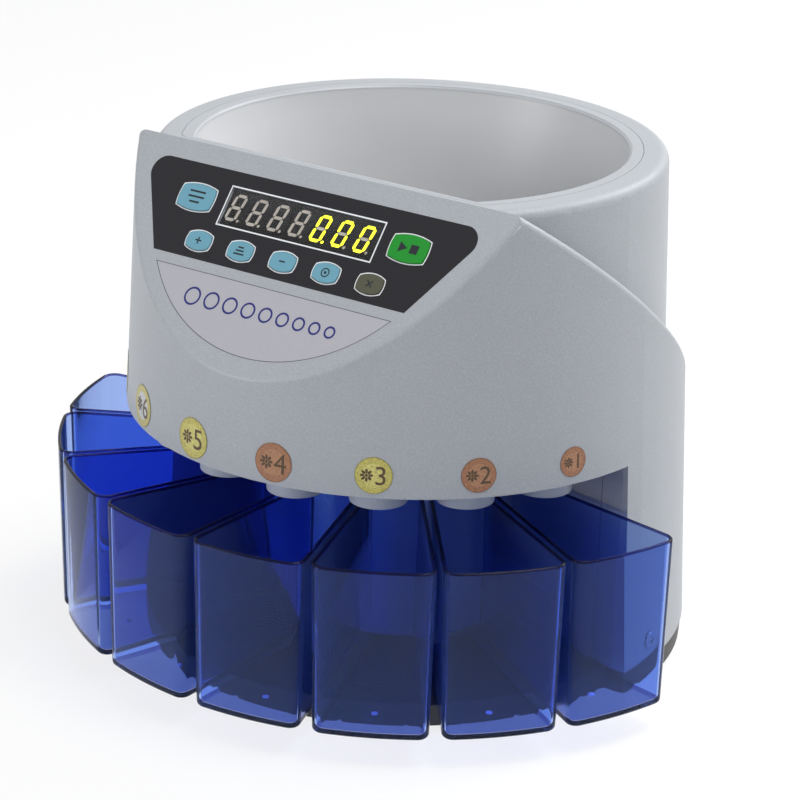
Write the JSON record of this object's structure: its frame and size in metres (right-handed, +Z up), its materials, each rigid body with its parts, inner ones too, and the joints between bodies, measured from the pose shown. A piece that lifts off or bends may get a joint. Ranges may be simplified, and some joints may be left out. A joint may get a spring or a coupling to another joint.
{
  "type": "coin sorting machine",
  "caption": "Coin sorting machine with a D-shaped hopper bowl, slanted keypad panel with digit display, and pull-out clear coin cups under graded coin spouts.",
  "frame": {"origin": "on the table under the middle of the machine's overall box", "axes": "+Z up, -Y towards the user (panel and cups), +X to the user's right"},
  "size_m": [0.3514, 0.3166, 0.254],
  "materials": {
    "black_plastic": "satin",
    "black_gloss": "gloss",
    "foot_rubber": "matt",
    "grey_plastic": "fine sparkle texture",
    "bowl_plastic": "satin",
    "rail_steel": "brushed",
    "sticker_copper": "printed",
    "disc_plastic": "satin",
    "cast_aluminium": "as cast",
    "motor_can": "zinc",
    "board_green": "solder mask",
    "transformer_steel": "lacquer",
    "display_dark": "gloss",
    "window_tint": "clear",
    "overlay_black": "satin film",
    "label_pale": "satin film",
    "pin_brass": "plated",
    "key_blue": "satin",
    "key_green": "satin",
    "key_olive": "satin",
    "cup_blue": "clear moulded"
  },
  "bodies": {
    "machine": {"base_pan": "black_plastic", "bearing_housing": "cast_aluminium", "bearing_screws": "rail_steel", "bracket_screws": "rail_steel", "capacitors": "black_plastic", "chute_deck": "grey_plastic", "coin_sensors": "black_plastic", "coin_stickers": "sticker_copper", "control_board": "board_green", "display_window": "window_tint", "drive_belt": "foot_rubber", "drive_motor": "motor_can", "drum_wall": "grey_plastic", "hopper_bowl": "bowl_plastic", "housing_screws": "rail_steel", "inlet_pins": "pin_brass", "key_switches": "black_plastic", "left_display": "display_dark", "lower_bearing": "rail_steel", "motor_bracket": "motor_can", "outer_housing": "grey_plastic", "panel_overlay": "overlay_black", "power_board": "board_green", "power_inlet": "black_plastic", "right_display": "display_dark", "rubber_feet": "foot_rubber", "sorting_rail": "rail_steel", "switch_body": "black_plastic", "title_label": "label_pale", "transformer": "transformer_steel", "upper_bearing": "rail_steel"},
    "feed_disc": {"coin_disc": "disc_plastic", "disc_mat": "foot_rubber", "disc_nut": "black_plastic", "spindle": "rail_steel", "driven_pulley": "disc_plastic"},
    "motor_rotor": {"motor_shaft": "rail_steel", "motor_pulley": "cast_aluminium"},
    "power_rocker": {"switch_rocker": "black_gloss"},
    "report_button": {"report_key": "key_blue"},
    "start_button": {"start_key": "key_green"},
    "plus_button": {"plus_key": "key_blue"},
    "batch_button": {"batch_key": "key_blue"},
    "minus_button": {"minus_key": "key_blue"},
    "set_button": {"set_key": "key_blue"},
    "clear_button": {"clear_key": "key_olive"},
    "cup_1": {"coin_cup_1": "cup_blue"},
    "cup_2": {"coin_cup_2": "cup_blue"},
    "cup_3": {"coin_cup_3": "cup_blue"},
    "cup_4": {"coin_cup_4": "cup_blue"},
    "cup_5": {"coin_cup_5": "cup_blue"},
    "cup_6": {"coin_cup_6": "cup_blue"},
    "cup_7": {"coin_cup_7": "cup_blue"},
    "cup_8": {"coin_cup_8": "cup_blue"}
  },
  "joints": [
    {"name": "cup_1_slide", "type": "slide", "parent": "machine", "child": "cup_1", "axis": [-0.9397, -0.342, 0], "range_m": [0, 0.12]},
    {"name": "cup_2_slide", "type": "slide", "parent": "machine", "child": "cup_2", "axis": [-0.766, -0.6428, 0], "range_m": [0, 0.12]},
    {"name": "cup_3_slide", "type": "slide", "parent": "machine", "child": "cup_3", "axis": [-0.5, -0.866, 0], "range_m": [0, 0.12]},
    {"name": "cup_4_slide", "type": "slide", "parent": "machine", "child": "cup_4", "axis": [-0.1736, -0.9848, 0], "range_m": [0, 0.12]},
    {"name": "cup_5_slide", "type": "slide", "parent": "machine", "child": "cup_5", "axis": [0.1736, -0.9848, 0], "range_m": [0, 0.12]},
    {"name": "cup_6_slide", "type": "slide", "parent": "machine", "child": "cup_6", "axis": [0.5, -0.866, 0], "range_m": [0, 0.12]},
    {"name": "cup_7_slide", "type": "slide", "parent": "machine", "child": "cup_7", "axis": [0.766, -0.6428, 0], "range_m": [0, 0.12]},
    {"name": "cup_8_slide", "type": "slide", "parent": "machine", "child": "cup_8", "axis": [0.9397, -0.342, 0], "range_m": [0, 0.12]},
    {"name": "disc_spin", "type": "hinge", "parent": "machine", "child": "feed_disc", "pos_m": [0, 0.01364, 0.15], "axis": [0, 0, 1], "continuous": true},
    {"name": "motor_spin", "type": "hinge", "parent": "machine", "child": "motor_rotor", "pos_m": [0, 0.10564, 0.075], "axis": [0, 0, 1], "continuous": true},
    {"name": "report_press", "type": "slide", "parent": "machine", "child": "report_button", "axis": [0, 0.7826, -0.6225], "range_m": [0, 0.0005], "stiffness_N_per_m": 600},
    {"name": "start_press", "type": "slide", "parent": "machine", "child": "start_button", "axis": [0, 0.7826, -0.6225], "range_m": [0, 0.0005], "stiffness_N_per_m": 600},
    {"name": "plus_press", "type": "slide", "parent": "machine", "child": "plus_button", "axis": [0, 0.7826, -0.6225], "range_m": [0, 0.0005], "stiffness_N_per_m": 600},
    {"name": "batch_press", "type": "slide", "parent": "machine", "child": "batch_button", "axis": [0, 0.7826, -0.6225], "range_m": [0, 0.0005], "stiffness_N_per_m": 600},
    {"name": "minus_press", "type": "slide", "parent": "machine", "child": "minus_button", "axis": [0, 0.7826, -0.6225], "range_m": [0, 0.0005], "stiffness_N_per_m": 600},
    {"name": "set_press", "type": "slide", "parent": "machine", "child": "set_button", "axis": [0, 0.7826, -0.6225], "range_m": [0, 0.0005], "stiffness_N_per_m": 600},
    {"name": "clear_press", "type": "slide", "parent": "machine", "child": "clear_button", "axis": [0, 0.7826, -0.6225], "range_m": [0, 0.0005], "stiffness_N_per_m": 600},
    {"name": "rocker_tilt", "type": "hinge", "parent": "machine", "child": "power_rocker", "pos_m": [0.07746, 0.12237, 0.062], "axis": [-0.7314, 0.682, 0], "range_deg": [-18, 0]}
  ],
  "couplings": [
    {"joint": "motor_spin", "follows": "disc_spin", "ratio": 3.75}
  ]
}
